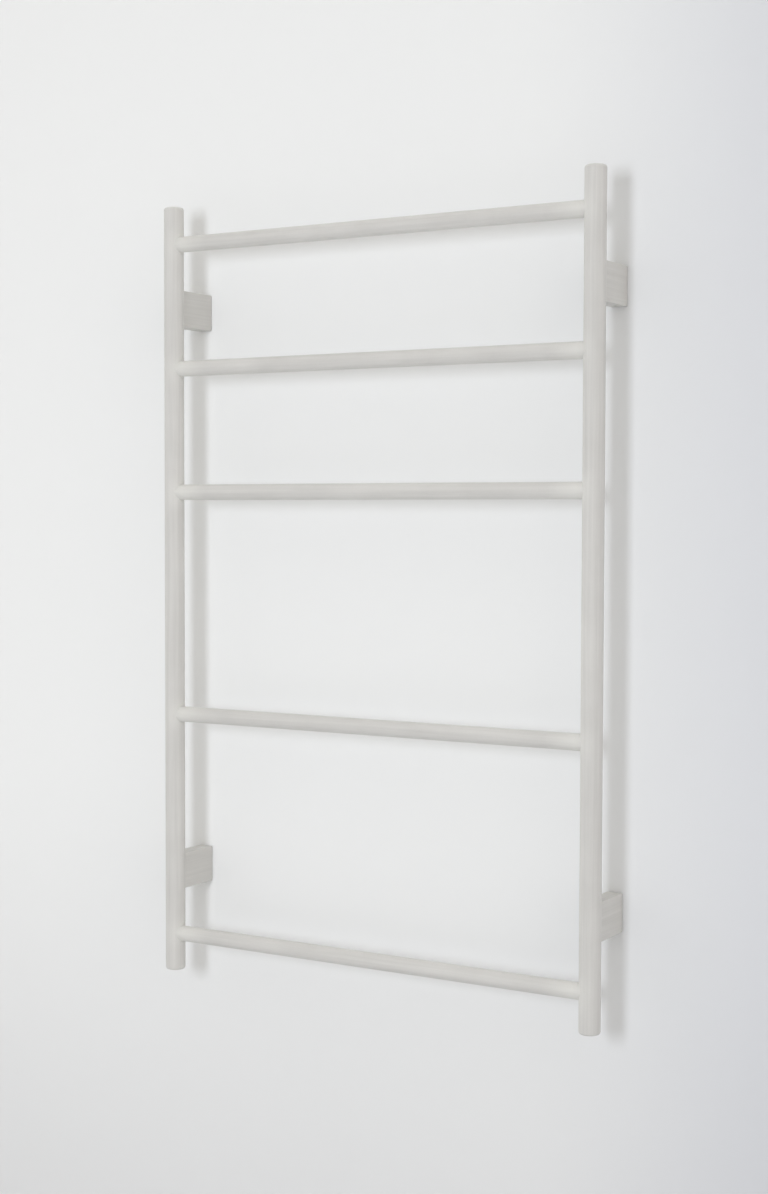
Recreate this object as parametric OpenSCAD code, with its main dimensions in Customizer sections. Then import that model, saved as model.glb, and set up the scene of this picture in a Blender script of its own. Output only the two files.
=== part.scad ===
// Towel warmer rack: a round-tube ladder held off the wall by four hollow brackets.
// Two posts and five rungs are coped and welded into one frame. A heating cable runs
// through every rung and comes out at the lower right bracket, where it meets a terminal
// block. Each bracket slides over an anchor that is screwed to the wall.
// The origin is on the wall at the centre of the four anchor screws. X runs along the
// rungs, Y into the wall and Z up, all in millimetres.

/* [Frame] */
// Distance between the centre lines of the two posts
post_pitch = 650; // [400:5:900]
// Length of a post from end to end
post_length = 1083; // [900:1:1500]
// Distance from the wall to the centre line of the posts
stand_off = 75; // [72:1:110]

/* [Posts] */
// Outside diameter of a post tube
post_d = 28; // [26:0.5:36]
// Wall thickness of a post tube
post_wall = 1.5; // [1:0.1:2.5]
// Radius of the rounded edge of an end cap
cap_edge_r = 4; // [1:0.5:7]
// Straight rim of an end cap below its rounded edge
cap_rim = 0.5; // [0.3:0.1:3]
// Length of the cap's plug inside the post
cap_plug_l = 9; // [5:1:14]
// Wall thickness of the cap's hollow plug
cap_plug_wall = 1.4; // [0.8:0.1:2.5]

/* [Rungs] */
// Outside diameter of a rung tube
rung_d = 22; // [18:0.5:23]
// Wall thickness of a rung tube
rung_wall = 1.2; // [0.8:0.1:2]
// From a post end to the centre line of the nearest rung
rung_inset = 52.5; // [35:0.5:80]
// Pitch of the three upper rungs
upper_pitch = 174; // [120:1:200]

/* [Brackets] */
// Width of a bracket along the rungs
bracket_w = 21.5; // [20:0.5:24]
// Height of a bracket
bracket_h = 51; // [48:0.5:70]
// Radius of a bracket's long edges
bracket_edge_r = 0.8; // [0.5:0.1:2.5]
// Radius of the corners of a bracket where it meets the wall
bracket_heel_r = 1.5; // [1:0.5:6]
// Wall thickness of the hollow bracket
bracket_wall = 3; // [2.5:0.1:3.5]
// Thickness of the bracket's closed end behind the post
bracket_web = 5; // [4:0.5:7]
// From a post end to the centre line of the nearest bracket
bracket_inset = 141.5; // [120:0.5:200]
// Thin gap between a bracket and the wall
shadow_gap = 1; // [0.5:0.1:2]

/* [Anchors] */
// How far an anchor reaches into its bracket
anchor_l = 26; // [22:1:30]
// Clearance between an anchor and the bracket around it
anchor_gap = 0.2; // [0.1:0.05:0.4]
// Hole for the wall screw
wall_hole_d = 5.5; // [4.5:0.5:7]
// Counterbore for the head of the wall screw
wall_head_d = 11; // [9:0.5:12]
// Material left under the head of the wall screw
wall_head_seat = 7; // [4:0.5:12]
// Diameter of the grub screw that locks a bracket on its anchor
grub_d = 5; // [4:0.5:6]
// Length of a grub screw
grub_l = 4.5; // [4:0.5:6]
// How deep a grub screw sits below the face of the bracket
grub_recess = 0.5; // [0.2:0.1:1]

/* [Bracket bolts] */
// Diameter of a bolt that holds a bracket to its post
bolt_d = 5; // [4:0.5:6]
// Distance between the two bolts of a bracket
bolt_pitch = 28; // [25:0.5:30]
// Diameter of a bolt head
bolt_head_d = 8.5; // [7.5:0.5:9]
// Height of a bolt head
bolt_head_h = 5; // [3:0.5:6]
// Clearance around a bolt in the bracket and the post
bolt_gap = 0.25; // [0.1:0.05:0.4]
// Height of the threaded plate inside the post
nut_plate_h = 40; // [38:1:50]
// Thickness of the threaded plate at its middle
nut_plate_t = 5.5; // [4:0.5:6]

/* [Heating] */
// Diameter of the heating cable
cable_d = 5.5; // [4:0.5:6.5]
// Radius of the cable's bends between a post and a rung
cable_bend_r = 25; // [20:1:28]
// Radius of the soft bends that lay the cable on the floor of a rung
cable_dip_r = 30; // [20:1:40]
// Diameter of the cable's moulded joint and of its overheat cut-out
joint_d = 9; // [8:0.5:12]
// Length of the moulded joint between lead and cable
joint_l = 24; // [18:1:26]
// Length of the overheat cut-out
cutout_l = 20; // [12:1:22]
// Diameter of the seal on the cable's far end
seal_d = 8; // [7:0.5:10]
// Length of the seal on the cable's far end
seal_l = 26; // [15:1:40]

/* [Terminals] */
// Diameter of the lead between the terminal block and the joint
lead_d = 6; // [5:0.5:6.5]
// Diameter of one insulated core of the lead
core_d = 2; // [1.5:0.1:2.4]
// Wall thickness of the rubber bush around the lead
bush_wall = 0.9; // [0.7:0.1:1.2]
// Thickness of the bush's collar
bush_collar = 1.5; // [1:0.1:2]
// Distance between the poles of the terminal block
pole_pitch = 8; // [7.5:0.1:8.2]
// Length of the terminal block, from wall side to post side
block_l = 15; // [12:0.5:16]
// Diameter of a clamp screw in the terminal block
clamp_screw_d = 3.6; // [3:0.1:4]
// Hole for the supply cable through the lower right anchor
supply_hole_d = 9; // [7:0.5:9.5]
// How far that hole lies below the wall screw
supply_drop = 13; // [12.5:0.1:13.5]
// Wall thickness of the supply grommet
grommet_wall = 1; // [0.8:0.1:1.5]

/* [Hidden] */
$fn = 64;
// Sides of a cable's outline, and the most it turns between two rings.
cable_sides = 12;
bend_step = 15;
steel_grey = "#cbcac5";
zinc = "#a9abad";
dark_steel = "#5b5d60";
brass = "#c2a05a";
copper = "#b87a55";
silicone_red = "#9c4a3c";
rubber_black = "#2a2a2a";
nylon_white = "#e8e6df";
earth_green = "#7fa03a";

// How far a cutting tool reaches past the face that it cuts.
past = 1;

post_r = post_d / 2;
post_bore_r = post_r - post_wall;
post_x = post_pitch / 2;
cap_h = cap_rim + cap_edge_r;
cap_gap = 0.05;

rung_r = rung_d / 2;
rung_bore_r = rung_r - rung_wall;
rung_top = post_length / 2 - rung_inset;
// The two lower bays share what the three upper rungs leave.
lower_pitch = rung_top - upper_pitch;
rung_z = [
    rung_top,
    rung_top - upper_pitch,
    rung_top - 2 * upper_pitch,
    lower_pitch - rung_top,
    -rung_top
];

// Depths are measured from the wall towards the room.
bracket_z = post_length / 2 - bracket_inset;
post_back = stand_off - post_r;
web_depth = post_back - bracket_web;
cavity_w = bracket_w - 2 * bracket_wall;
cavity_h = bracket_h - 2 * bracket_wall;
cavity_edge_r = 0.8;

anchor_w = cavity_w - 2 * anchor_gap;
anchor_h = cavity_h - 2 * anchor_gap;
anchor_edge_r = 0.6;
// The anchor's foot fills the thin gap at the wall, this far inside the bracket's outline.
foot_inset = 1;
grub_depth = anchor_l / 2;
grub_tip = grub_recess + grub_l - bracket_h / 2;
thread_gap = 0.05;

bolt_r = bolt_d / 2;
bolt_hole_r = bolt_r + bolt_gap;
nut_gap = 0.1;
// Inner face of the threaded plate, where the bolts end flush.
nut_depth = stand_off - post_bore_r + nut_plate_t;

lead_r = lead_d / 2;
lead_gap = 0.1;
bush_r = lead_r + lead_gap + bush_wall;
bush_hole_r = bush_r + 0.1;
lead_bend_r = post_bore_r - 0.5;
lead_depth = web_depth - bush_collar - 2;
joint_z = -bracket_z - lead_bend_r - 3;

// The terminal block sits between the anchor and the bracket's closed end.
block_depth = anchor_l + 4;
block_face = block_depth + block_l;
block_w = cavity_w - 2 * anchor_gap;
block_h = 3 * pole_pitch + 4;
wire_hole_r = core_d / 2 + 0.5;
core_gap = 0.05;
// How far a wire reaches into the block, and the bends that bring it to its pole.
core_bite = 4;
core_fan_r = 2 * core_d;
clamp_gap = 0.1;
clamp_inset = block_l / 4;
clamp_sink = 0.5;
// The earth tag's plate and the crimp barrel on it.
tag_t = 0.8;
barrel_r = core_d / 2 + 0.5;
barrel_l = 6;
supply_z = -supply_drop;
supply_hole_r = supply_hole_d / 2;

cable_r = cable_d / 2;
floor_gap = 0.3;
// How far the cable drops from the middle of a rung to its floor.
cable_drop = rung_bore_r - cable_r - floor_gap;
dip_angle = acos(1 - cable_drop / (2 * cable_dip_r));
dip_run = 2 * cable_dip_r * sin(dip_angle);
dip_lead_in = 4;
floor_run = post_pitch - 2 * (cable_bend_r + dip_lead_in + dip_run);
seal_clear = 40;

// ---- Shared shapes ----

// A rectangle with round corners, centred on the origin.
module soft_rect(w, h, r) {
    square([w - 2 * r, h], center = true);
    square([w, h - 2 * r], center = true);
    for (x = [-1, 1], y = [-1, 1])
        translate([x * (w / 2 - r), y * (h / 2 - r)])
            circle(r);
}

// A soft-edged bar that starts at a depth and runs towards the room.
module soft_bar(w, h, r, depth, length) {
    translate([0, -depth, 0])
        rotate([90, 0, 0])
            linear_extrude(length)
                soft_rect(w, h, r);
}

// A round bar that starts at a depth and runs towards the room.
module round_bar(r, depth, length) {
    translate([0, -depth, 0])
        rotate([90, 0, 0])
            cylinder(r = r, h = length);
}

// A tube that stands on the origin.
module tube(r, bore_r, length) {
    difference() {
        cylinder(r = r, h = length);
        translate([0, 0, -past])
            cylinder(r = bore_r, h = length + 2 * past);
    }
}

// The round post as a solid, for cutting the saddles that seat against it.
module post_body(height) {
    translate([0, -stand_off, -height / 2])
        cylinder(r = post_r, h = height);
}

// Puts its children at the bracket on one side (-1 left, 1 right) and end (-1 lower, 1 upper).
module at_bracket(side, end) {
    translate([side * post_x, 0, end * bracket_z])
        children();
}

// Puts its children at both bolts of a bracket.
module at_bolts() {
    for (row = [-1, 1])
        translate([0, 0, row * bolt_pitch / 2])
            children();
}

// ---- Frame ----

// A post tube, open through its inner side into each rung and drilled at the back for the
// bracket bolts. The inlet post also has a hole for the lead.
module post(side) {
    color(steel_grey)
        translate([side * post_x, 0, 0])
            difference() {
                translate([0, -stand_off, -post_length / 2 + cap_h])
                    tube(post_r, post_bore_r, post_length - 2 * cap_h);
                for (z = rung_z)
                    translate([0, -stand_off, z])
                        rotate([0, -90 * side, 0])
                            cylinder(r = rung_bore_r, h = post_r + past);
                for (end = [-1, 1])
                    translate([0, 0, end * bracket_z])
                        at_bolts()
                            round_bar(bolt_hole_r, post_back - past, post_r);
                if (side > 0)
                    translate([0, 0, -bracket_z])
                        round_bar(bush_hole_r, post_back - past, post_r);
            }
}

// A rung tube whose ends are coped to sit round the posts as saddles.
module rung(number) {
    color(steel_grey)
        translate([0, 0, rung_z[number - 1]])
            difference() {
                translate([-post_x, -stand_off, 0])
                    rotate([0, 90, 0])
                        tube(rung_r, rung_bore_r, post_pitch);
                for (side = [-1, 1])
                    translate([side * post_x, 0, 0])
                        post_body(2 * post_d);
            }
}

// An end cap: a flat face with a round edge, flush with the post, on a hollow plug.
module cap(side, end) {
    plug_r = post_bore_r - cap_gap;
    color(steel_grey)
        translate([side * post_x, -stand_off, end * (post_length / 2 - cap_h)])
            mirror([0, 0, end > 0 ? 0 : 1])
                rotate_extrude()
                    union() {
                        square([post_r, cap_rim]);
                        square([post_r - cap_edge_r, cap_h]);
                        translate([post_r - cap_edge_r, cap_rim])
                            intersection() {
                                circle(cap_edge_r);
                                square(cap_edge_r);
                            }
                        translate([plug_r - cap_plug_wall, -cap_plug_l])
                            square([cap_plug_wall, cap_plug_l]);
                    }
}

// ---- Brackets and wall anchors ----

// The outline of a bracket: soft long edges, and rounder corners where it meets the wall.
module bracket_block() {
    reach = stand_off - shadow_gap;
    intersection() {
        soft_bar(bracket_w, bracket_h, bracket_edge_r, shadow_gap, reach);
        translate([-bracket_w, -shadow_gap - reach / 2, 0])
            rotate([90, 0, 90])
                linear_extrude(2 * bracket_w)
                    soft_rect(reach, bracket_h, bracket_heel_r);
    }
}

// The tapped hole that comes up through the floor of a bracket, as high as the given tip.
module grub_hole(tip) {
    translate([0, -grub_depth, -bracket_h])
        cylinder(r = grub_d / 2 + thread_gap, h = bracket_h + tip);
}

// A hollow bracket, closed behind the post, where it is coped into a saddle.
module bracket(side, end) {
    color(steel_grey)
        at_bracket(side, end)
            difference() {
                bracket_block();
                soft_bar(cavity_w, cavity_h, cavity_edge_r, -past, web_depth + past);
                post_body(2 * bracket_h);
                at_bolts()
                    round_bar(bolt_hole_r, web_depth - past, stand_off);
                grub_hole(0);
                if (side > 0 && end < 0)
                    round_bar(bush_hole_r, web_depth - past, stand_off);
            }
}

// A wall anchor: a thin foot on the wall and a block that fills the end of the bracket.
// The screw head sinks into it, and a pocket underneath takes the tip of the grub screw.
module anchor(side, end) {
    color(zinc)
        at_bracket(side, end)
            difference() {
                union() {
                    soft_bar(
                        bracket_w - 2 * foot_inset,
                        bracket_h - 2 * foot_inset,
                        bracket_edge_r, 0, shadow_gap
                    );
                    soft_bar(anchor_w, anchor_h, anchor_edge_r, 0, anchor_l);
                }
                round_bar(wall_hole_d / 2, -past, anchor_l + 2 * past);
                round_bar(wall_head_d / 2, wall_head_seat, anchor_l);
                grub_hole(grub_tip);
                if (side > 0 && end < 0)
                    translate([0, 0, supply_z])
                        round_bar(supply_hole_r + lead_gap, -past, anchor_l + 2 * past);
            }
}

// Threaded plates that fill the back of the post's bore behind each bracket.
module nut_plates() {
    color(dark_steel)
        for (side = [-1, 1], end = [-1, 1])
            at_bracket(side, end)
                difference() {
                    intersection() {
                        translate([0, -stand_off, -nut_plate_h / 2])
                            cylinder(r = post_bore_r - nut_gap, h = nut_plate_h);
                        translate([-post_r, -nut_depth, -nut_plate_h])
                            cube([post_d, post_r, 2 * nut_plate_h]);
                    }
                    at_bolts()
                        round_bar(bolt_r + thread_gap, post_back, post_r);
                    if (side > 0 && end < 0)
                        round_bar(bush_hole_r, post_back, post_r);
                }
}

// A socket-head bolt with its head seated at a depth.
module bolt(seat) {
    difference() {
        union() {
            round_bar(bolt_head_d / 2, seat - bolt_head_h, bolt_head_h);
            round_bar(bolt_r, seat, nut_depth - seat);
        }
        translate([0, -(seat - bolt_head_h - past), 0])
            rotate([90, 0, 0])
                cylinder(d = 0.9 * bolt_d, h = past + bolt_head_h / 2, $fn = 6);
    }
}

// Two bolts through each bracket. The earth tag lies under one of them.
module bracket_bolts() {
    color(dark_steel)
        for (side = [-1, 1], end = [-1, 1], row = [-1, 1])
            at_bracket(side, end)
                translate([0, 0, row * bolt_pitch / 2])
                    bolt(side > 0 && end < 0 && row > 0 ? web_depth - tag_t : web_depth);
}

// Grub screws that come up through the floor of each bracket into its anchor.
module grub_screws() {
    color(dark_steel)
        for (side = [-1, 1], end = [-1, 1])
            at_bracket(side, end)
                translate([0, -grub_depth, grub_tip - grub_l])
                    difference() {
                        cylinder(d = grub_d, h = grub_l);
                        translate([0, 0, -past])
                            cylinder(d = grub_d / 2, h = past + grub_l / 2, $fn = 6);
                    }
}

// ---- Heating cable ----

// A cable lies in one plane and follows a route, a list of steps [straight, bend radius, turn].
// Each step runs straight on and then bends; a positive turn bends to the left of its way.
// A pose on the route is [across, up, heading].

// The pose reached from another one by a bend.
function bent(pose, radius, turn) = let (side = sign(turn)) [
    pose[0] + side * radius * (sin(pose[2] + turn) - sin(pose[2])),
    pose[1] - side * radius * (cos(pose[2] + turn) - cos(pose[2])),
    pose[2] + turn
];

// All poses of a route after its start: the end of each straight and points round each bend.
function poses_along(route, pose, step = 0) = step == len(route) ? [] : let (
    straight = route[step][0],
    turn = route[step][2],
    ahead = [pose[0] + straight * cos(pose[2]), pose[1] + straight * sin(pose[2]), pose[2]],
    pieces = ceil(abs(turn) / bend_step),
    round_bend = [for (i = [1 : 1 : pieces]) bent(ahead, route[step][1], turn * i / pieces)],
    here = concat(straight > 0 ? [ahead] : [], round_bend)
) concat(here, poses_along(route, here[len(here) - 1], step + 1));

// A round cable in the X-Z plane: one ring of points at each pose, skinned together.
module cable(route, start, radius) {
    poses = concat([start], poses_along(route, start));
    last = (len(poses) - 1) * cable_sides;
    points = [
        for (pose = poses, k = [0 : cable_sides - 1])
            let (a = 360 * k / cable_sides)
                [
                    pose[0] - radius * cos(a) * sin(pose[2]),
                    radius * sin(a),
                    pose[1] + radius * cos(a) * cos(pose[2])
                ]
    ];
    skin = [
        for (ring = [0 : len(poses) - 2], k = [0 : cable_sides - 1])
            let (here = ring * cable_sides, next = (k + 1) % cable_sides)
                each [
                    [here + k, here + next, here + cable_sides + k],
                    [here + next, here + cable_sides + next, here + cable_sides + k]
                ]
    ];
    polyhedron(points, concat(
        skin,
        [[for (k = [cable_sides - 1 : -1 : 0]) k]],
        [[for (k = [0 : cable_sides - 1]) last + k]]
    ));
}

// The steps along one rung: down to its floor, along it and up again. way is the side that
// lies towards the floor, 1 for left and -1 for right.
function rung_steps(way, floor_length) = [
    [dip_lead_in, cable_dip_r, way * dip_angle],
    [0, cable_dip_r, -way * dip_angle],
    [floor_length, cable_dip_r, -way * dip_angle],
    [0, cable_dip_r, way * dip_angle]
];

// The steps from one rung to the next one above it, round the outside of a post.
function climb_steps(way, height) = [
    [dip_lead_in, cable_bend_r, way * 90],
    [height - 2 * cable_bend_r, cable_bend_r, way * 90]
];

// From the joint down into the lowest rung, then up the ladder rung by rung. The last rung
// ends early, on its floor, in the end seal.
heating_route = concat(
    [[joint_z - joint_l + rung_top - cable_bend_r, cable_bend_r, -90]],
    rung_steps(1, floor_run),
    climb_steps(-1, rung_z[3] - rung_z[4]),
    rung_steps(-1, floor_run),
    climb_steps(1, rung_z[2] - rung_z[3]),
    rung_steps(1, floor_run),
    climb_steps(-1, rung_z[1] - rung_z[2]),
    rung_steps(-1, floor_run),
    climb_steps(1, rung_z[0] - rung_z[1]),
    [
        [dip_lead_in, cable_dip_r, dip_angle],
        [0, cable_dip_r, -dip_angle],
        [floor_run - seal_clear, 0, 0]
    ]
);

module heating_cable() {
    color(silicone_red)
        translate([0, -stand_off, 0])
            cable(heating_route, [post_x, joint_z - joint_l, -90], cable_r);
}

// The seal on the far end of the cable, resting on the floor of the top rung.
module cable_end_seal() {
    cable_end = seal_clear - floor_run / 2;
    color(rubber_black)
        translate([cable_end, -stand_off, rung_top - rung_bore_r + floor_gap + seal_d / 2])
            rotate([0, -90, 0])
                cylinder(d = seal_d, h = seal_l);
}

// The moulded joint between the lead and the heating cable.
module cable_joint() {
    color(rubber_black)
        translate([post_x, -stand_off, joint_z - joint_l])
            cylinder(d = joint_d, h = joint_l);
}

// The overheat cut-out, clipped round the cable half way up the first climb.
module overheat_cutout() {
    color(zinc)
        translate([-post_x, -stand_off, (rung_z[3] + rung_z[4] - cutout_l) / 2])
            tube(joint_d / 2, cable_r, cutout_l);
}

// ---- Inlet ----

// Turns a cable so that its across direction is the depth behind the inlet bracket.
module at_inlet() {
    at_bracket(1, -1)
        rotate([0, 0, -90])
            children();
}

// The lead, from the room behind the bush through the post's back and down to the joint.
module inlet_lead() {
    color(rubber_black)
        at_inlet()
            cable([
                [stand_off - lead_bend_r - lead_depth, lead_bend_r, -90],
                [-bracket_z - lead_bend_r - joint_z, 0, 0]
            ], [lead_depth, 0, 0], lead_r);
}

// Two cores that leave the lead one above the other. The upper one runs straight into the
// middle pole of the terminal block, and the lower one steps down to the pole below.
module lead_cores() {
    upper = wire_hole_r - core_d / 2 - core_gap;
    lower = upper - core_d - core_gap;
    reach = lead_depth - block_face + core_bite;
    fan_angle = acos(1 - (pole_pitch + lower) / (2 * core_fan_r));
    color(copper)
        at_inlet() {
            cable([[reach, 0, 0]], [lead_depth, upper, 180], core_d / 2);
            cable([
                [0, core_fan_r, fan_angle],
                [0, core_fan_r, -fan_angle],
                [reach - 2 * core_fan_r * sin(fan_angle), 0, 0]
            ], [lead_depth, lower, 180], core_d / 2);
        }
}

// The rubber bush that lines the lead's way through the bracket, the post and the plate.
module lead_bush() {
    color(rubber_black)
        at_bracket(1, -1)
            difference() {
                union() {
                    round_bar(bush_r, web_depth, nut_depth - web_depth);
                    round_bar(bush_r + 1, web_depth - bush_collar, bush_collar);
                }
                round_bar(lead_r + lead_gap, web_depth - bush_collar - past, stand_off);
            }
}

// Puts its children at each clamp screw of the terminal block, pointing across the block.
module at_clamps() {
    for (pole = [-1, 0, 1], depth = [block_depth + clamp_inset, block_face - clamp_inset])
        translate([0, -depth, pole * pole_pitch])
            rotate([0, 90, 0])
                children();
}

// The three-pole terminal block, held between the side walls of the inlet bracket.
module terminal_block() {
    color(nylon_white)
        at_bracket(1, -1)
            difference() {
                soft_bar(block_w, block_h, cavity_edge_r, block_depth, block_l);
                for (pole = [-1, 0, 1])
                    translate([0, 0, pole * pole_pitch])
                        round_bar(wire_hole_r, block_depth - past, block_l + 2 * past);
                at_clamps()
                    cylinder(r = clamp_screw_d / 2 + clamp_gap, h = block_w);
            }
}

// The clamp screws of the terminal block, with their slots facing sideways.
module terminal_screws() {
    screw_l = block_w / 2 - wire_hole_r - clamp_sink;
    color(brass)
        at_bracket(1, -1)
            at_clamps()
                translate([0, 0, wire_hole_r])
                    difference() {
                        cylinder(d = clamp_screw_d, h = screw_l);
                        translate([-clamp_screw_d, -0.4, screw_l - 0.8])
                            cube([2 * clamp_screw_d, 0.8, 2]);
                    }
}

// The earth tag under the upper bolt of the inlet bracket, with its crimp barrel.
module earth_tag() {
    color(zinc)
        at_bracket(1, -1)
            difference() {
                union() {
                    translate([0, 0, bolt_pitch / 2])
                        round_bar(bolt_head_d / 2, web_depth - tag_t, tag_t);
                    translate([-barrel_r, -web_depth, pole_pitch])
                        cube([2 * barrel_r, tag_t, bolt_pitch / 2 - pole_pitch]);
                    translate([0, 0, pole_pitch])
                        round_bar(barrel_r, web_depth - barrel_l, barrel_l);
                }
                translate([0, 0, bolt_pitch / 2])
                    round_bar(bolt_r + thread_gap, web_depth - tag_t - past, tag_t + 2 * past);
            }
}

// The earth wire from the tag to the upper pole of the terminal block.
module earth_wire() {
    wire_from = block_face - core_bite;
    color(earth_green)
        at_bracket(1, -1)
            translate([0, 0, pole_pitch])
                round_bar(core_d / 2, wire_from, web_depth - barrel_l - wire_from);
}

// The grommet that lines the supply hole through the lower right anchor.
module supply_grommet() {
    collar_t = 1.2;
    color(rubber_black)
        at_bracket(1, -1)
            translate([0, 0, supply_z])
                difference() {
                    union() {
                        round_bar(supply_hole_r, 0, anchor_l);
                        round_bar(supply_hole_r + grommet_wall, anchor_l, collar_t);
                    }
                    round_bar(supply_hole_r - grommet_wall, -past, anchor_l + collar_t + 2 * past);
                }
}

post(-1);  // post_left
post(1);  // post_right
cap(-1, 1);  // cap_top_left
cap(1, 1);  // cap_top_right
cap(-1, -1);  // cap_bottom_left
cap(1, -1);  // cap_bottom_right
rung(1);  // rung_1
rung(2);  // rung_2
rung(3);  // rung_3
rung(4);  // rung_4
rung(5);  // rung_5
bracket(-1, 1);  // bracket_upper_left
bracket(1, 1);  // bracket_upper_right
bracket(-1, -1);  // bracket_lower_left
bracket(1, -1);  // bracket_lower_right
anchor(-1, 1);  // anchor_upper_left
anchor(1, 1);  // anchor_upper_right
anchor(-1, -1);  // anchor_lower_left
anchor(1, -1);  // anchor_lower_right
nut_plates();
bracket_bolts();
grub_screws();
heating_cable();
cable_end_seal();
cable_joint();
overheat_cutout();
inlet_lead();
lead_cores();
lead_bush();
terminal_block();
terminal_screws();
earth_tag();
earth_wire();
supply_grommet();
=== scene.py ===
# %% [markdown]
# # A towel warmer rack, dressed in Blender
# The rack is a ladder of two upright steel tubes and five thinner rungs. Four block
# brackets hold it off the wall. Its solids come from CAD and are never altered here.
# This lesson gives them their finishes, adds the small fillets that a welder leaves where
# a rung meets a post, and sets up a wall, a floor, a softbox and a camera.
# The CAD model is loaded first, because everything that follows is placed from it.

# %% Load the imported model
import math

import bpy
import numpy as np
from mathutils import Matrix, Vector


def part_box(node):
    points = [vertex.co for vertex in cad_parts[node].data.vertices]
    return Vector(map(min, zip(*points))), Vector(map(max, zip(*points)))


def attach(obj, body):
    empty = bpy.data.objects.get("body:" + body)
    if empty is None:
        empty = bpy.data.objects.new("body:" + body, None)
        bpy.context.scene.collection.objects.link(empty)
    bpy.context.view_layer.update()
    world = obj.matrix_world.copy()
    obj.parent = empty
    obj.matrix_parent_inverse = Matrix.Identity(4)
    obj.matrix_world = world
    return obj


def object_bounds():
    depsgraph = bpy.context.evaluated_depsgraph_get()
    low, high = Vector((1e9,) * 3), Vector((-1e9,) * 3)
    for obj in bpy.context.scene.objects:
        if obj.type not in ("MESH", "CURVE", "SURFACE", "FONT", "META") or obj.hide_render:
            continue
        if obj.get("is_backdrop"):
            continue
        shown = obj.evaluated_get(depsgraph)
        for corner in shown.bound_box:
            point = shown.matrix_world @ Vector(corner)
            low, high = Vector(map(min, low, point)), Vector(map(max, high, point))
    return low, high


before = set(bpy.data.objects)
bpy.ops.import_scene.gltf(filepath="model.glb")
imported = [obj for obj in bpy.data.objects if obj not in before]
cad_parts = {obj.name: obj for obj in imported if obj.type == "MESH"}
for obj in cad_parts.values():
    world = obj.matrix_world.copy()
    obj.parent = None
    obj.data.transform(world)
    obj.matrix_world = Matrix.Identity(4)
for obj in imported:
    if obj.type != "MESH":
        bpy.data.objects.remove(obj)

cad_low, cad_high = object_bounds()
print("size in mm:", [round(1000 * side) for side in cad_high - cad_low])

# %% [markdown]
# ## Colours and nodes
# A colour picker shows sRGB values, but Blender's shaders add up light, so they want
# linear ones. One function does that change, and every colour below is written as the
# hex value that a paint card would give.
# Materials are node trees. One function adds a node of any kind: its own settings come
# by name, and each of its sockets gets either a value or the output that feeds it.

# %% Two small helpers
def linear(hex_colour):
    """sRGB hex to linear RGBA: c / 12.92 up to 0.04045, else ((c + 0.055) / 1.055) ** 2.4."""
    srgb = np.array([int(hex_colour[i:i + 2], 16) for i in (1, 3, 5)]) / 255
    rgb = np.where(srgb <= 0.04045, srgb / 12.92, ((srgb + 0.055) / 1.055) ** 2.4)
    return (*rgb.tolist(), 1.0)


def add(tree, kind, sockets=None, **settings):
    """Adds a shader node, sets its properties, and fills or links its sockets."""
    node = tree.nodes.new("ShaderNode" + kind)
    for name, value in settings.items():
        setattr(node, name, value)
    for key, value in (sockets or {}).items():
        if isinstance(value, bpy.types.NodeSocket):
            tree.links.new(value, node.inputs[key])
        else:
            node.inputs[key].default_value = value
    return node


print("mid grey 808080 is", round(linear("#808080")[0], 3), "in linear light")

# %% [markdown]
# ## The camera
# The rack is seen from its right, a little above its middle. A camera's place and its
# turn can be typed in, or a tracking constraint can aim it at a target. Typed-in angles
# are used here, because they can also hold the tiny roll of a hand-held view.
# Blender's camera looks along its own -Z with +Y up, so the turn starts by tipping it
# up 90 degrees, which makes it look along +Y, straight at the wall.

# %% Camera
CAMERA_PLACE = (1.2962, -2.1994, 0.1118)
TURN_LEFT, TILT, ROLL = 0.54021, -0.04471, -0.00248
LENS_MM = 56.31
LONG_SIDE_MM = 36

camera_data = bpy.data.cameras.new("camera")
camera_data.lens = LENS_MM
camera_data.sensor_width = LONG_SIDE_MM
camera = bpy.data.objects.new("camera", camera_data)
camera.matrix_world = (
    Matrix.Translation(CAMERA_PLACE) @ Matrix.Rotation(TURN_LEFT, 4, "Z")
    @ Matrix.Rotation(TILT, 4, "X") @ Matrix.Rotation(ROLL, 4, "Y")
    @ Matrix.Rotation(math.pi / 2, 4, "X"))
bpy.context.scene.collection.objects.link(camera)
bpy.context.scene.camera = camera
print("the camera stands", -CAMERA_PLACE[1], "m out from the wall")

# %% [markdown]
# ## Meshes from arrays
# New surfaces in this lesson are worked out with numpy as whole arrays of points. Each
# is a grid: rows of points one way and columns the other, with a four-sided face between
# neighbours. A ring closes on itself, so its last row or column joins its first.
# One function numbers the faces of such a grid, and one turns it into a mesh.

# %% From a grid of points to a mesh
def grid_faces(rows, columns, closed=False):
    """Corner numbers of the faces (i, j), (i+1, j), (i+1, j+1), (i, j+1) of a grid."""
    i = np.arange(rows if closed else rows - 1)[:, None]
    j = np.arange(columns if closed else columns - 1)[None, :]
    below, beside = (i + 1) % rows, (j + 1) % columns
    corners = [i * columns + j, below * columns + j, below * columns + beside,
               i * columns + beside]
    return np.stack(corners, axis=-1).reshape(-1, 4)


def mesh_object(name, points, faces, smooth=True):
    """A mesh object at the origin, from an array of points and an array of faces."""
    mesh = bpy.data.meshes.new(name)
    mesh.from_pydata(points.reshape(-1, 3).tolist(), [], faces.tolist())
    mesh.polygons.foreach_set("use_smooth", [smooth] * len(mesh.polygons))
    mesh.update()
    made = bpy.data.objects.new(name, mesh)
    bpy.context.scene.collection.objects.link(made)
    return made


print("a 3 x 4 grid has", len(grid_faces(3, 4)), "faces, and a closed one",
      len(grid_faces(3, 4, closed=True)))

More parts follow.
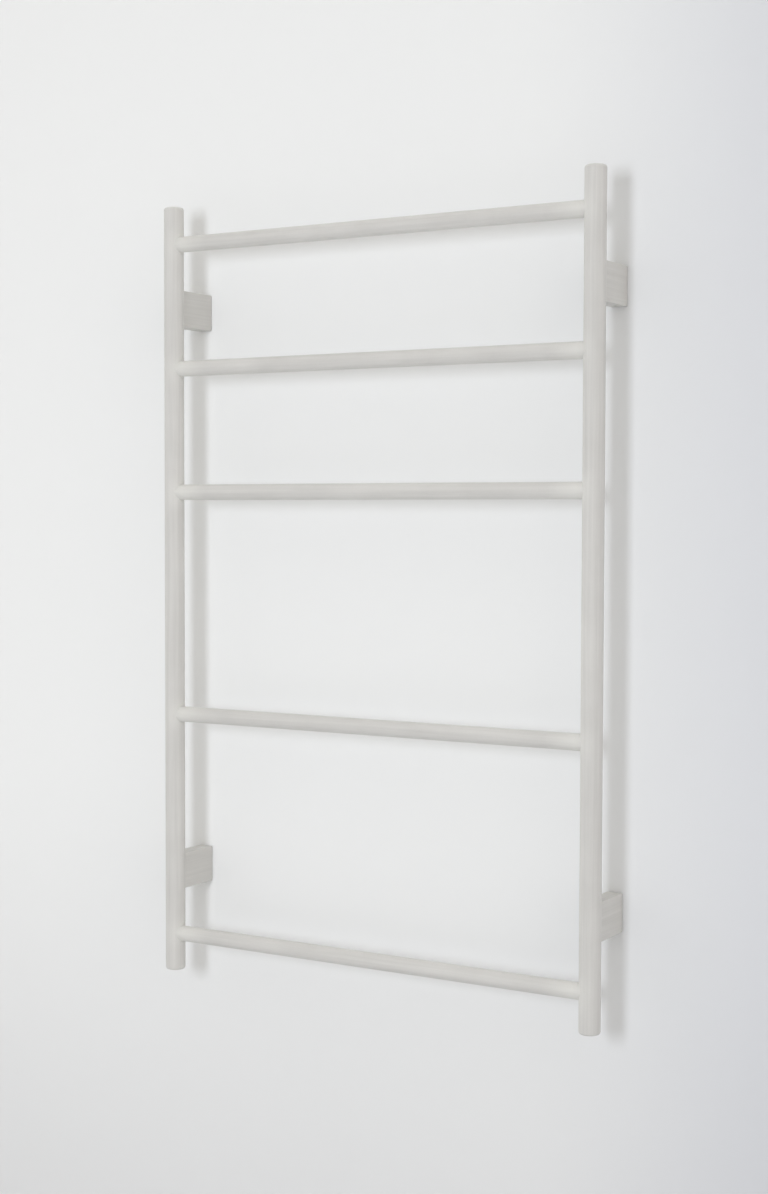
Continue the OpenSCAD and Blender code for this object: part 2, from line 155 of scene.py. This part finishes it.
# %% [markdown]
# ## Wall and floor
# The rack hangs on a wall, so it is shown on one: without it, the brackets would end in
# the air and there would be no shadows. The wall is a flat sheet, and it is only a stage
# for the object. It has four small windows hidden behind the feet of the wall anchors, so
# that light from behind still reaches the feet when they are seen from there.
# The floor is a plain sheet, 0.86 m below the rack.

# %% Wall and floor
FLOOR_DROP = 0.86
ROOM = 7.0
FOOT_MARGIN = 0.0015
WALL_BEHIND = 0.0003
CORNERS = "upper_left", "upper_right", "lower_left", "lower_right"

floor_z = cad_low.z - FLOOR_DROP
# Edges are rounded to 0.01 mm, so that feet in line with each other share them.
feet = [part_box(f"anchor_{corner}") for corner in CORNERS]
foot_x, foot_z = (
    sorted({round(edge, 5) for low, high in feet
            for edge in (low[axis] + FOOT_MARGIN, high[axis] - FOOT_MARGIN)})
    for axis in (0, 2))
wall_x = np.array([-ROOM, *foot_x, ROOM])
wall_z = np.array([floor_z, *foot_z, floor_z + ROOM / 2])
x, z = np.meshgrid(wall_x, wall_z, indexing="ij")
wall_faces = grid_faces(len(wall_x), len(wall_z))
# Counted from an edge of the wall, the feet are the bays 1 and 3 both ways.
bay_x, bay_z = np.divmod(np.arange(len(wall_faces)), len(wall_z) - 1)
is_window = (bay_x % 2 == 1) & (bay_z % 2 == 1)
wall = mesh_object("wall", np.stack([x, np.full_like(x, WALL_BEHIND), z], axis=-1),
                   wall_faces[~is_window], smooth=False)
x, y = np.meshgrid([-ROOM, ROOM], [-ROOM, ROOM], indexing="ij")
floor = mesh_object("floor", np.stack([x, y, np.full_like(x, floor_z)], axis=-1),
                    grid_faces(2, 2), smooth=False)
wall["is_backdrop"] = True
floor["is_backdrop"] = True
print("windows in the wall:", int(is_window.sum()), "and the floor at", round(floor_z, 3), "m")

# %% [markdown]
# ## Matt emulsion on the wall and the floor
# Emulsion paint is chalky: it scatters light evenly and has no gloss, so a Diffuse shader
# is the right one. The light in the room falls off gently to the right and downwards. A
# second lamp could do that, but it would cast shadows of its own, so the paint carries
# the fall: its colour is multiplied by one pale grey further right and by another lower
# down. A Separate XYZ node reads the place on the sheet, and two Map Range nodes turn it
# into the shares of the two greys.
# Seen from the room, the wall is solid. Its back is clear, so that the rack can be looked
# at from behind as well. The Backfacing output tells the two sides apart.

# %% Emulsion
def emulsion(name, paint, right_shade, lower_shade, right_span, lower_span, clear_back):
    """Chalky paint, multiplied by right_shade over right_span in X and by lower_shade
    over lower_span in Z."""
    material = bpy.data.materials.new(name)
    material.use_nodes = True
    tree = material.node_tree
    tree.nodes.clear()
    place = add(tree, "SeparateXYZ", {0: add(tree, "TexCoord").outputs["Object"]})
    right, lower = (
        add(tree, "MapRange", {"Value": place.outputs[axis], "From Min": start, "From Max": stop},
            interpolation_type="SMOOTHSTEP").outputs["Result"]
        for axis, (start, stop) in (("X", right_span), ("Z", lower_span)))
    shaded = linear(paint)
    for share, shade in ((right, right_shade), (lower, lower_shade)):
        shaded = add(tree, "Mix", {0: share, 6: shaded, 7: linear(shade)}, data_type="RGBA",
                     blend_type="MULTIPLY").outputs[2]
    surface = add(tree, "BsdfDiffuse", {"Color": shaded, "Roughness": 1.0}).outputs[0]
    if clear_back:
        side = add(tree, "NewGeometry").outputs["Backfacing"]
        clear = add(tree, "BsdfTransparent").outputs[0]
        surface = add(tree, "MixShader", {0: side, 1: surface, 2: clear}).outputs[0]
    add(tree, "OutputMaterial", {"Surface": surface})
    return material


wall.data.materials.append(emulsion(
    "emulsion_wall", paint="#f4f5f5", right_shade="#ecedf1", lower_shade="#eeeeef",
    right_span=(0.15, 0.7), lower_span=(-0.2, -1.2), clear_back=True))
floor.data.materials.append(emulsion(
    "emulsion_floor", paint="#e9e9e9", right_shade="#fafafc", lower_shade="#ffffff",
    right_span=(-2.0, 2.0), lower_span=(-1.0, -3.0), clear_back=False))
print("the wall faces", [round(part) for part in wall.data.polygons[0].normal])

# %% [markdown]
# ## Daylight from the sides and one softbox
# The room is lit by its own white walls, ceiling and floor. Light that comes from the
# sides, from above and from below is stronger than light from straight in front, so it
# reaches behind the posts. The world's Generated coordinates are the way that the light
# comes from. Their squares add up to 1, so a strength for each square makes a smooth
# lobe along each axis. One tall softbox in front gives the soft-edged shadows of the
# posts. A shadow's edge blurs by the lamp's size times the gap behind the object over the
# lamp's distance. The box is 0.55 m wide, 1 m tall and 3.4 m away and the gap is 75 mm,
# so the posts' edges blur by 12 mm, and those of the rungs by 22 mm. Painted walls send
# back a slightly warm light and the lamp is slightly cool, so the shadows look warmer
# than the wall round them.
# Together they light a surface that faces the room at a level of about 1, at which a
# colour renders as it is written. What the camera sees past the wall is a plain pale
# tone, and gloss mirrors that tone too.

# %% World and softbox
SOFTBOX_PLACE, SOFTBOX_LEVEL = Vector((0.24, -3.33, 0.40)), 0.275
SOFTBOX_WIDTH, SOFTBOX_HEIGHT = 0.55, 1.0
FROM_FRONT, FROM_SIDE, FROM_ABOVE = 0.245, 1.15, 0.85
WALLS_LEFT, WALLS_RIGHT, PALE_TONE, LAMP_TINT = "#fffdf9", "#fff9f2", "#e6e7e9", "#f4f8ff"

world = bpy.data.worlds.new("room")
bpy.context.scene.world = world
world.use_nodes = True
tree = world.node_tree
tree.nodes.clear()
way = add(tree, "TexCoord").outputs["Generated"]
squares = add(tree, "VectorMath", {0: way, 1: way}, operation="MULTIPLY")
slanting = add(tree, "VectorMath", {0: squares.outputs[0], 1: (FROM_SIDE, 0.0, FROM_ABOVE)},
               operation="DOT_PRODUCT")
level = add(tree, "Math", {0: slanting.outputs["Value"], 1: FROM_FRONT}, operation="ADD")
# A Map Range as it comes keeps 0 to 1, so only light from the right takes the second tint.
from_right = add(tree, "MapRange",
                 {"Value": add(tree, "SeparateXYZ", {0: way}).outputs["X"]})
tint = add(tree, "Mix", {0: from_right.outputs[0], 6: linear(WALLS_LEFT),
                         7: linear(WALLS_RIGHT)}, data_type="RGBA")
lit = add(tree, "Background", {"Color": tint.outputs[2], "Strength": level.outputs[0]})
seen = add(tree, "Background", {"Color": linear(PALE_TONE), "Strength": 1.0})
path = add(tree, "LightPath")
mirrored = add(tree, "Math", {0: path.outputs["Is Glossy Ray"],
                              1: path.outputs["Is Transmission Ray"]}, operation="MAXIMUM")
plain = add(tree, "Math", {0: path.outputs["Is Camera Ray"], 1: mirrored.outputs[0]},
            operation="MAXIMUM")
both = add(tree, "MixShader", {0: plain.outputs[0], 1: lit.outputs[0], 2: seen.outputs[0]})
add(tree, "OutputWorld", {"Surface": both.outputs[0]})

# A lamp's power is level * pi^2 * distance^2, for that level on a surface that faces it.
softbox_light = bpy.data.lights.new("softbox", "AREA")
softbox_light.shape = "RECTANGLE"
softbox_light.size, softbox_light.size_y = SOFTBOX_WIDTH, SOFTBOX_HEIGHT
softbox_light.color = linear(LAMP_TINT)[:3]
softbox_light.energy = SOFTBOX_LEVEL * math.pi ** 2 * SOFTBOX_PLACE.length_squared
softbox = bpy.data.objects.new("softbox", softbox_light)
softbox.location = SOFTBOX_PLACE
softbox.rotation_euler = (-SOFTBOX_PLACE).to_track_quat("-Z", "Y").to_euler()
softbox.visible_camera = False
bpy.context.scene.collection.objects.link(softbox)
bpy.context.scene.view_settings.view_transform = "Standard"
print("the softbox gives", round(softbox_light.energy), "W")

# %% [markdown]
# ## Weld fillets where the rungs meet the posts
# A rung's end is coped: it is cut to a saddle that sits round the post. The weld that
# joins them leaves a small hollow fillet all round, which is ground and painted over.
# A Bevel modifier can't round a corner between two separate solids, so the fillet is a
# ring of its own. The corner between the tubes is a curve that is known exactly: at a
# height y off the post's middle, a post of radius R stands out sqrt(R^2 - y^2).
# Three points follow that curve: one on the rung, one in the corner and one on the post.
# A quadratic Bezier arc from the first to the last, pulled to the corner, touches both
# tubes smoothly. The back of the ring lies inside the metal, so it is a closed shape.

# %% Fillets
FILLET_LEG = 0.0009
FILLET_WAVE = 0.0001
COARSE_RIPPLES, FINE_RIPPLES = 5, 11
BURIED = 0.00004
FILLET_BACK = 0.0004
ROUND_STEPS, ARC_STEPS = 96, 8


def facing_out(points, faces):
    """The faces of a closed mesh, turned round if its signed volume, the sum of
    a . (b x c) / 6 over its triangles, is negative."""
    a, b, c, d = (points.reshape(-1, 3)[faces[:, corner]] for corner in range(4))
    volume = (a * np.cross(b, c)).sum() + (a * np.cross(c, d)).sum()
    return faces if volume > 0 else faces[:, ::-1]


def saddle_fillet(name, post_x, into_bay, axis_y, axis_z, post_r, rung_r, seed):
    """A ring round the seam of a rung and a post. Round the rung by the angle t, its
    corner is at x = post_x + into_bay * sqrt(post_r^2 - (rung_r cos t)^2). Its legs are
    FILLET_LEG long, plus FILLET_WAVE times the mean of two sines of t, and so they
    waver as those of a hand weld do."""
    t = np.linspace(0, 2 * math.pi, ROUND_STEPS, endpoint=False)
    leg = FILLET_LEG + FILLET_WAVE * (
        np.sin(COARSE_RIPPLES * t + seed) + np.sin(FINE_RIPPLES * t + 2 * seed)) / 2

    def ring(radius, lift):
        """Points at this radius round the rung, lifted off the post's face."""
        out = np.sqrt(post_r ** 2 - (radius * np.cos(t)) ** 2) + lift
        return np.stack([post_x + into_bay * out, axis_y + radius * np.cos(t),
                         axis_z + radius * np.sin(t)], axis=-1)

    on_rung = ring(rung_r - BURIED, leg)
    corner = ring(rung_r - BURIED, -BURIED)
    on_post = ring(rung_r + leg, -BURIED)
    s = np.linspace(0, 1, ARC_STEPS)[:, None, None]
    arc = (1 - s) ** 2 * on_rung + 2 * s * (1 - s) * corner + s ** 2 * on_post
    back = [ring(rung_r + leg, -FILLET_BACK), ring(rung_r - FILLET_BACK, -FILLET_BACK),
            ring(rung_r - FILLET_BACK, leg)]
    points = np.concatenate([arc, np.stack(back)])
    faces = facing_out(points, grid_faces(*points.shape[:2], closed=True))
    return mesh_object(name, points, faces)


rungs = {f"rung_{number}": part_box(f"rung_{number}") for number in range(1, 6)}
fillets = []
for side, into_bay in (("left", 1), ("right", -1)):
    low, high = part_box(f"cap_top_{side}")
    post_x, post_y, post_r = (low.x + high.x) / 2, (low.y + high.y) / 2, (high.x - low.x) / 2
    for number, (low, high) in enumerate(rungs.values(), start=1):
        fillets.append(saddle_fillet(
            f"weld_fillet_{number}_{side}", post_x, into_bay, post_y, (low.z + high.z) / 2,
            post_r, (high.z - low.z) / 2, number * into_bay))
print("fillets:", len(fillets), "with", len(fillets[0].data.polygons), "faces each")

# %% [markdown]
# ## Painted light at the joints
# Close to each joint, the coat's colour is made a shade lighter. This is painted light,
# not a change in the coat, and it reaches about 50 mm along the rung and some way round
# the post. That could be painted by hand, but the joints are at known places, so it is
# worked out from the place on the object instead. A colour ramp reads how far to the side
# a point is, and the distance to the height of the nearest rung lets the painted light fade
# up and down the post.

# %% Painted light at the joints
# How far up and down the post the painted light at a joint reaches.
JOINT_LIGHT_HEIGHT = 0.034
# More than the height of any point off its nearest rung.
FAR_OFF = 1.0
# Metres outwards from the post's inner side, and how strongly the painted light shows there.
JOINT_LIGHT_SHARE = (-0.048, 0), (-0.006, 0.55), (0.004, 0.4), (0.028, 0)

rung_heights = [(low.z + high.z) / 2 for low, high in rungs.values()]
# The last post that the fillets were made for is the right one. This is its inner side.
seam_x = post_x - post_r


def painted_joint_light(tree, place):
    """A share: how strongly the painted light of the nearest joint shows. Sideways it is read
    from a ramp on the size of X, and it fades with the height off the nearest rung."""
    part = add(tree, "SeparateXYZ", {0: place})
    sideways = add(tree, "Math", {0: part.outputs[0]}, operation="ABSOLUTE")
    start, stop = JOINT_LIGHT_SHARE[0][0], JOINT_LIGHT_SHARE[-1][0]
    sideways = add(tree, "MapRange", {"Value": sideways.outputs[0], "From Min": seam_x + start,
                                      "From Max": seam_x + stop})
    ramp = add(tree, "ValToRGB", {"Fac": sideways.outputs[0]})
    ramp.color_ramp.elements[1].color = (0, 0, 0, 1)
    for off, share in JOINT_LIGHT_SHARE[1:-1]:
        made = ramp.color_ramp.elements.new((off - start) / (stop - start))
        made.color = (share, share, share, 1)
    height = FAR_OFF
    for rung_z in rung_heights:
        off = add(tree, "Math", {0: part.outputs[2], 1: rung_z}, operation="SUBTRACT")
        off = add(tree, "Math", {0: off.outputs[0]}, operation="ABSOLUTE")
        height = add(tree, "Math", {0: off.outputs[0], 1: height}, operation="MINIMUM").outputs[0]
    level_with = add(tree, "MapRange", {"Value": height, "From Min": JOINT_LIGHT_HEIGHT,
                                        "From Max": 0.0}, interpolation_type="SMOOTHSTEP")
    return add(tree, "Math", {0: ramp.outputs[0], 1: level_with.outputs[0]},
               operation="MULTIPLY").outputs[0]


print("joints at the heights", [round(rung_z, 3) for rung_z in rung_heights], "and",
      round(seam_x, 3), "m to each side")

# %% [markdown]
# ## How every finish starts
# A new material in Blender comes with a Principled shader, which can be paint, metal,
# rubber or plastic. Each finish below gives it a colour, a roughness and a fine relief
# from patterns. The patterns read the place on the object, because the solids have no
# unwrapped map. One function sets that up and hands back what each finish builds on.

# %% A new finish
def new_finish(name):
    """A material, its node tree, its Principled shader and the place on the object."""
    material = bpy.data.materials.new(name)
    material.use_nodes = True
    tree = material.node_tree
    place = add(tree, "TexCoord").outputs["Object"]
    return material, tree, tree.nodes["Principled BSDF"], place


print("materials before the finishes:", len(bpy.data.materials))

# %% [markdown]
# ## Powder coat on drawn steel tube
# The frame is mild steel tube, sprayed with dry polyester powder and baked. That gives a
# matt, slightly satin skin about 0.08 mm thick. Three things make it look real:
# - the draw lines of the tube show through faintly as long streaks 3 to 6 mm apart;
# - the powder melts unevenly, which leaves a fine orange peel about 2.5 mm across;
# - single grains leave a fine speckle, drawn here at 1.2 mm so that it shows.
# Noise on Object coordinates is stretched for the streaks: a Mapping node scales each
# axis by 1000 divided by the pattern's size in mm, so along the tube it changes slowly.
# An Ambient Occlusion node finds the seams, where the spray cloud is thinner and dust
# settles, and lets them go a little darker. The darkening is partly dust and partly painted
# shade, where shade falls in the seams.

# %% Powder coat
DRAW_LINE_MM, DRAW_LENGTH_MM = 4.5, 260
CLOUD_MM, SPECKLE_MM, PEEL_MM = 70, 1.2, 2.5
# Each pattern's share of the tone, and the span of their sum from the dark to the pale.
STREAK_SHARE, CLOUD_SHARE, SPECKLE_SHARE = 0.55, 0.3, 0.15
DARK_AT, PALE_AT = 0.34, 0.66
# The third tone is the painted light near the joints. The fourth is dust and painted shade in the
# seams.
COAT_DARK, COAT_PALE, COAT_JOINT_LIGHT, COAT_DUST_AND_SHADE = "#c7c6c3", "#d5d4d1", "#e2e2dd", "#a5a29d"
# The roughness that a sum of 0 and a sum of 1 would have.
ROUGH_WHERE_LOW, ROUGH_WHERE_HIGH = 0.62, 0.46
# Dust and painted shade are thickest where a seam is this closed, and end where it is this open.
SEAM_REACH, SEAM_CLOSED, SEAM_OPEN, MOST_DUST_AND_SHADE = 0.004, 0.25, 0.85, 0.5
PEEL_DEPTH, DRAW_DEPTH, RELIEF, SPECKLE_RELIEF = 0.00004, 0.00006, 0.7, 0.25


def powder_coat(name, along):
    """Matt polyester powder coat. along is the axis of the tube, 0 for X to 2 for Z."""
    material, tree, skin, place = new_finish(name)
    pitch = [DRAW_LINE_MM] * 3
    pitch[along] = DRAW_LENGTH_MM
    drawn = add(tree, "Mapping", {"Vector": place, "Scale": [1000 / mm for mm in pitch]})
    streak = add(tree, "TexNoise", {"Vector": drawn.outputs[0], "Scale": 1.0, "Detail": 4.0,
                                    "Roughness": 0.62}).outputs[0]
    cloud, speckle, peel = (
        add(tree, "TexNoise", {"Vector": place, "Scale": 1000 / mm, "Detail": detail}).outputs[0]
        for mm, detail in ((CLOUD_MM, 2.0), (SPECKLE_MM, 2.0), (PEEL_MM, 1.0)))
    mixed = 0.0
    for pattern, share in ((streak, STREAK_SHARE), (cloud, CLOUD_SHARE),
                           (speckle, SPECKLE_SHARE)):
        mixed = add(tree, "Math", {0: pattern, 1: share, 2: mixed},
                    operation="MULTIPLY_ADD").outputs[0]
    tone = add(tree, "ValToRGB", {"Fac": mixed})
    tone.color_ramp.elements[0].position = DARK_AT
    tone.color_ramp.elements[0].color = linear(COAT_DARK)
    tone.color_ramp.elements[1].position = PALE_AT
    tone.color_ramp.elements[1].color = linear(COAT_PALE)
    # Painted light: the coat is made a shade lighter near each joint.
    lighter_at_joint = painted_joint_light(tree, place)
    body = add(tree, "Mix", {0: lighter_at_joint, 6: tone.outputs[0], 7: linear(COAT_JOINT_LIGHT)},
               data_type="RGBA")
    # Dust and painted shade: the seams that the AO node finds are made darker.
    nearby = add(tree, "AmbientOcclusion", {"Distance": SEAM_REACH}, samples=8)
    dust_and_shade = add(tree, "MapRange", {"Value": nearby.outputs["AO"], "From Min": SEAM_CLOSED,
                                  "From Max": SEAM_OPEN, "To Min": MOST_DUST_AND_SHADE, "To Max": 0.0})
    dust_and_shade_tone = add(tree, "Mix", {0: dust_and_shade.outputs[0], 6: body.outputs[2], 7: linear(COAT_DUST_AND_SHADE)},
                data_type="RGBA")
    tree.links.new(dust_and_shade_tone.outputs[2], skin.inputs["Base Color"])
    satin = add(tree, "MapRange", {"Value": mixed, "To Min": ROUGH_WHERE_LOW,
                                   "To Max": ROUGH_WHERE_HIGH})
    tree.links.new(satin.outputs[0], skin.inputs["Roughness"])
    grains = add(tree, "Math", {0: speckle, 1: SPECKLE_RELIEF, 2: peel},
                 operation="MULTIPLY_ADD")
    bump = add(tree, "Bump", {"Height": grains.outputs[0], "Strength": RELIEF,
                              "Distance": PEEL_DEPTH})
    drawn_bump = add(tree, "Bump", {"Height": streak, "Strength": RELIEF,
                                    "Distance": DRAW_DEPTH, "Normal": bump.outputs[0]})
    tree.links.new(drawn_bump.outputs[0], skin.inputs["Normal"])
    skin.inputs["IOR"].default_value = 1.5
    skin.inputs["Specular IOR Level"].default_value = 0.32
    return material


coat_upright = powder_coat("powder_coat_on_upright_tube", 2)
coat_rung = powder_coat("powder_coat_on_rung_tube", 0)
coat_block = powder_coat("powder_coat_on_block", 1)
print("coats:", [coat.name for coat in (coat_upright, coat_rung, coat_block)])

# %% [markdown]
# ## Zinc-plated steel
# The wall anchors, nut plates, the earth tag and the cut-out's can are steel with a
# bright, clear-passivated zinc plate. Plating is a metal, so Metallic is 1 and the colour
# is the mirror colour, a pale blue-grey. The passivation film is uneven: it wanders
# towards straw and blue over about 15 mm. The rolled sheet below leaves fine lines.
# The function serves every small metal fitting, with tones of its own.

# %% Zinc plate
FILM_MM, ROLLED_LENGTH_MM = 15, 40
DARK_FILM_AT, MIDDLE_FILM_AT, LIGHT_FILM_AT = 0.3, 0.52, 0.7
GLOSS_SPREAD, LINE_RELIEF, LINE_DEPTH = 0.1, 0.5, 0.00002


def fitting_metal(name, dark, light, film, roughness, line_mm):
    """A metal of three tones that wander into each other, with fine lines along Z."""
    material, tree, skin, place = new_finish(name)
    skin.inputs["Metallic"].default_value = 1.0
    wander = add(tree, "TexNoise", {"Vector": place, "Scale": 1000 / FILM_MM, "Detail": 3.0})
    tone = add(tree, "ValToRGB", {"Fac": wander.outputs[0]})
    tone.color_ramp.elements[0].position = DARK_FILM_AT
    tone.color_ramp.elements[0].color = linear(dark)
    tone.color_ramp.elements[1].position = LIGHT_FILM_AT
    tone.color_ramp.elements[1].color = linear(light)
    tone.color_ramp.elements.new(MIDDLE_FILM_AT).color = linear(film)
    tree.links.new(tone.outputs[0], skin.inputs["Base Color"])
    pitch = (line_mm, line_mm, ROLLED_LENGTH_MM)
    rolled = add(tree, "Mapping", {"Vector": place, "Scale": [1000 / mm for mm in pitch]})
    line = add(tree, "TexNoise", {"Vector": rolled.outputs[0], "Scale": 1.0, "Detail": 2.0})
    gloss = add(tree, "MapRange", {"Value": line.outputs[0], "To Min": roughness - GLOSS_SPREAD,
                                   "To Max": roughness + GLOSS_SPREAD})
    tree.links.new(gloss.outputs[0], skin.inputs["Roughness"])
    bump = add(tree, "Bump", {"Height": line.outputs[0], "Strength": LINE_RELIEF,
                              "Distance": LINE_DEPTH})
    tree.links.new(bump.outputs[0], skin.inputs["Normal"])
    return material


zinc = fitting_metal("zinc_plated_steel", "#a3a8ae", "#c6cace", "#bdbcb2", 0.38, 0.6)
print("zinc plate mirrors", [round(c, 2) for c in linear("#c6cace")[:3]])

# %% [markdown]
# ## Blackened high-tensile steel
# Socket bolts and grub screws are heat-treated and blackened in hot salts, then oiled.
# The film is magnetite: still a metal, but nearly black, with a faint brown where it is
# thin. The same function makes it, with dark tones and a softer gloss.

# %% Blackened steel
blackened = fitting_metal("blackened_steel", "#2a2b2d", "#46474a", "#3a3633", 0.45, 0.4)
print("blackened steel is made from", len(blackened.node_tree.nodes), "nodes")

# %% [markdown]
# ## Rubber and silicone
# The heating cable has a red-brown silicone sheath. The joint, the seal, the lead, its
# bush and the grommet are black EPDM rubber. Both are extruded or moulded soft, so their
# skin is matt: rough, with a low, wide gloss. Talc from the mould leaves a pale bloom in
# patches of about 6 mm, which is what keeps rubber from looking like plastic.

# %% Rubber
BLOOM_MM, PORE_MM, PORE_RELIEF, PORE_DEPTH = 6, 0.5, 0.5, 0.00005
# The span of the noise over which the bloom comes in, and the roughness of full bloom.
BLOOM_FROM, BLOOM_FULL, BLOOM_ROUGHNESS = 0.4, 0.75, 0.95


def rubber(name, body, bloom, bloom_share, roughness):
    """Matt elastomer with a patchy pale bloom and a fine, uneven skin."""
    material, tree, skin, place = new_finish(name)
    patch, pores = (
        add(tree, "TexNoise", {"Vector": place, "Scale": 1000 / mm, "Detail": 4.0}).outputs[0]
        for mm in (BLOOM_MM, PORE_MM))
    share = add(tree, "MapRange", {"Value": patch, "From Min": BLOOM_FROM,
                                   "From Max": BLOOM_FULL, "To Max": bloom_share})
    tone = add(tree, "Mix", {0: share.outputs[0], 6: linear(body), 7: linear(bloom)},
               data_type="RGBA")
    tree.links.new(tone.outputs[2], skin.inputs["Base Color"])
    matt = add(tree, "MapRange", {"Value": patch, "To Min": roughness,
                                  "To Max": BLOOM_ROUGHNESS})
    tree.links.new(matt.outputs[0], skin.inputs["Roughness"])
    bump = add(tree, "Bump", {"Height": pores, "Strength": PORE_RELIEF,
                              "Distance": PORE_DEPTH})
    tree.links.new(bump.outputs[0], skin.inputs["Normal"])
    skin.inputs["Specular IOR Level"].default_value = 0.35
    return material


silicone = rubber("silicone_sheath", "#9a4034", "#b5857a", 0.45, 0.55)
epdm = rubber("epdm_rubber", "#262626", "#5a5a58", 0.35, 0.62)
print("rubbers:", silicone.name, "and", epdm.name)

# %% [markdown]
# ## Nylon and wire insulation
# The terminal block is moulded in natural nylon 66: off-white, a little translucent and
# softly shiny, with the fine spark-eroded grain of its mould. A touch of subsurface
# light makes it look waxy rather than painted. The cores' insulation is a smoother PVC.

# %% Moulded plastics
FLOW_MM, GLOW_DEPTH = 9, 0.002
SMOOTHER_BY, ROUGHER_BY, GRAIN_RELIEF, GRAIN_DEPTH = 0.08, 0.12, 0.4, 0.00004


def moulded(name, dark, light, grain_mm, roughness, glow):
    """Moulded or extruded thermoplastic: a two-tone flow pattern and a fine mould grain."""
    material, tree, skin, place = new_finish(name)
    flow, grain = (
        add(tree, "TexNoise", {"Vector": place, "Scale": 1000 / mm, "Detail": 3.0}).outputs[0]
        for mm in (FLOW_MM, grain_mm))
    tone = add(tree, "Mix", {0: flow, 6: linear(dark), 7: linear(light)}, data_type="RGBA")
    tree.links.new(tone.outputs[2], skin.inputs["Base Color"])
    gloss = add(tree, "MapRange", {"Value": grain, "To Min": roughness - SMOOTHER_BY,
                                   "To Max": roughness + ROUGHER_BY})
    tree.links.new(gloss.outputs[0], skin.inputs["Roughness"])
    bump = add(tree, "Bump", {"Height": grain, "Strength": GRAIN_RELIEF,
                              "Distance": GRAIN_DEPTH})
    tree.links.new(bump.outputs[0], skin.inputs["Normal"])
    skin.inputs["IOR"].default_value = 1.53
    skin.inputs["Subsurface Weight"].default_value = glow
    skin.inputs["Subsurface Scale"].default_value = GLOW_DEPTH
    return material


nylon = moulded("natural_nylon", "#ddd8ca", "#eeeae0", 0.7, 0.42, 0.3)
core_pvc = moulded("core_insulation_pvc", "#70452a", "#8f5b3a", 0.3, 0.38, 0.0)
print("nylon glow:", round(nylon.node_tree.nodes["Principled BSDF"].inputs[
    "Subsurface Weight"].default_value, 2))

# %% [markdown]
# ## Green and yellow earth wire
# An earth wire is yellow with two green stripes, extruded together, so that it can't be
# mistaken. The stripes run along the wire. One Mapping node puts the wire's axis at the
# middle of the pattern and another turns it upright. A radial Gradient gives the angle
# round it, and a ramp with hard steps cuts that angle into four bands.

# %% Earth wire
YELLOW, GREEN = "#c9b52a", "#3f7f35"
SCUFF_MM, SCUFF_SMOOTH, SCUFF_ROUGH = 1.5, 0.3, 0.5

low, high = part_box("earth_wire")
earth_pvc, tree, skin, place = new_finish("earth_insulation_pvc")
centred = add(tree, "Mapping", {"Vector": place, "Location": -(low + high) / 2})
upright = add(tree, "Mapping", {"Vector": centred.outputs[0], "Rotation": (math.pi / 2, 0, 0)})
angle = add(tree, "TexGradient", {"Vector": upright.outputs[0]}, gradient_type="RADIAL")
bands = add(tree, "ValToRGB", {"Fac": angle.outputs["Fac"]})
bands.color_ramp.interpolation = "CONSTANT"
bands.color_ramp.elements[0].color = linear(YELLOW)
bands.color_ramp.elements[1].position = 0.25
bands.color_ramp.elements[1].color = linear(GREEN)
bands.color_ramp.elements.new(0.5).color = linear(YELLOW)
bands.color_ramp.elements.new(0.75).color = linear(GREEN)
scuff = add(tree, "TexNoise", {"Vector": place, "Scale": 1000 / SCUFF_MM, "Detail": 3.0})
worn = add(tree, "MapRange", {"Value": scuff.outputs[0], "To Min": SCUFF_SMOOTH,
                              "To Max": SCUFF_ROUGH})
tree.links.new(bands.outputs[0], skin.inputs["Base Color"])
tree.links.new(worn.outputs[0], skin.inputs["Roughness"])
print("the earth wire is", round(1000 * (high.y - low.y), 1), "mm long")

# %% [markdown]
# ## Turned brass
# The clamp screws of the terminal block are turned from brass bar. Cutting leaves fine
# rings round each screw, but they are finer than a tenth of a millimetre, so a noise of
# 0.4 mm stands for them in the roughness. Handling leaves the yellow a little browner.

# %% Brass
brass = fitting_metal("turned_brass", "#a5813f", "#d2b169", "#bf9a52", 0.3, 0.4)
print("brass mirrors", [round(c, 2) for c in linear("#d2b169")[:3]])

# %% [markdown]
# ## Every node gets its finish
# A CAD node keeps its mesh and gets a better material in its own slots. The table below
# names the finish of each node by what the piece is made of. The fillets are pieces of
# their own, so they ride on the rack's one body and take the powder coat's slot.

# %% Assign the finishes
finishes = {
    coat_upright: ["post_left", "post_right", "cap_top_left", "cap_top_right",
                   "cap_bottom_left", "cap_bottom_right"],
    coat_rung: list(rungs),
    coat_block: [f"bracket_{corner}" for corner in CORNERS],
    zinc: [f"anchor_{corner}" for corner in CORNERS]
          + ["nut_plates", "overheat_cutout", "earth_tag"],
    blackened: ["bracket_bolts", "grub_screws"],
    silicone: ["heating_cable"],
    epdm: ["cable_end_seal", "cable_joint", "inlet_lead", "lead_bush", "supply_grommet"],
    core_pvc: ["lead_cores"],
    nylon: ["terminal_block"],
    brass: ["terminal_screws"],
    earth_pvc: ["earth_wire"],
}
for finish, names in finishes.items():
    for name in names:
        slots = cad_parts[name].data.materials
        slots.clear()
        slots.append(finish)
for fillet in fillets:
    fillet.data.materials.append(coat_rung)
    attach(fillet, "root")
finished = sum(len(names) for names in finishes.values())
print("finished nodes:", finished, "of", len(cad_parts))

# %% [markdown]
# ## Measure and finish
# The dressed rack must be as big as its solids, so the last line prints how much its box
# has grown past theirs.

# %% Sizes and the last line
low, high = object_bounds()
print("grown by mm:", [round(1000 * (b - a), 2) for a, b in
                       zip(cad_high - cad_low, high - low)])
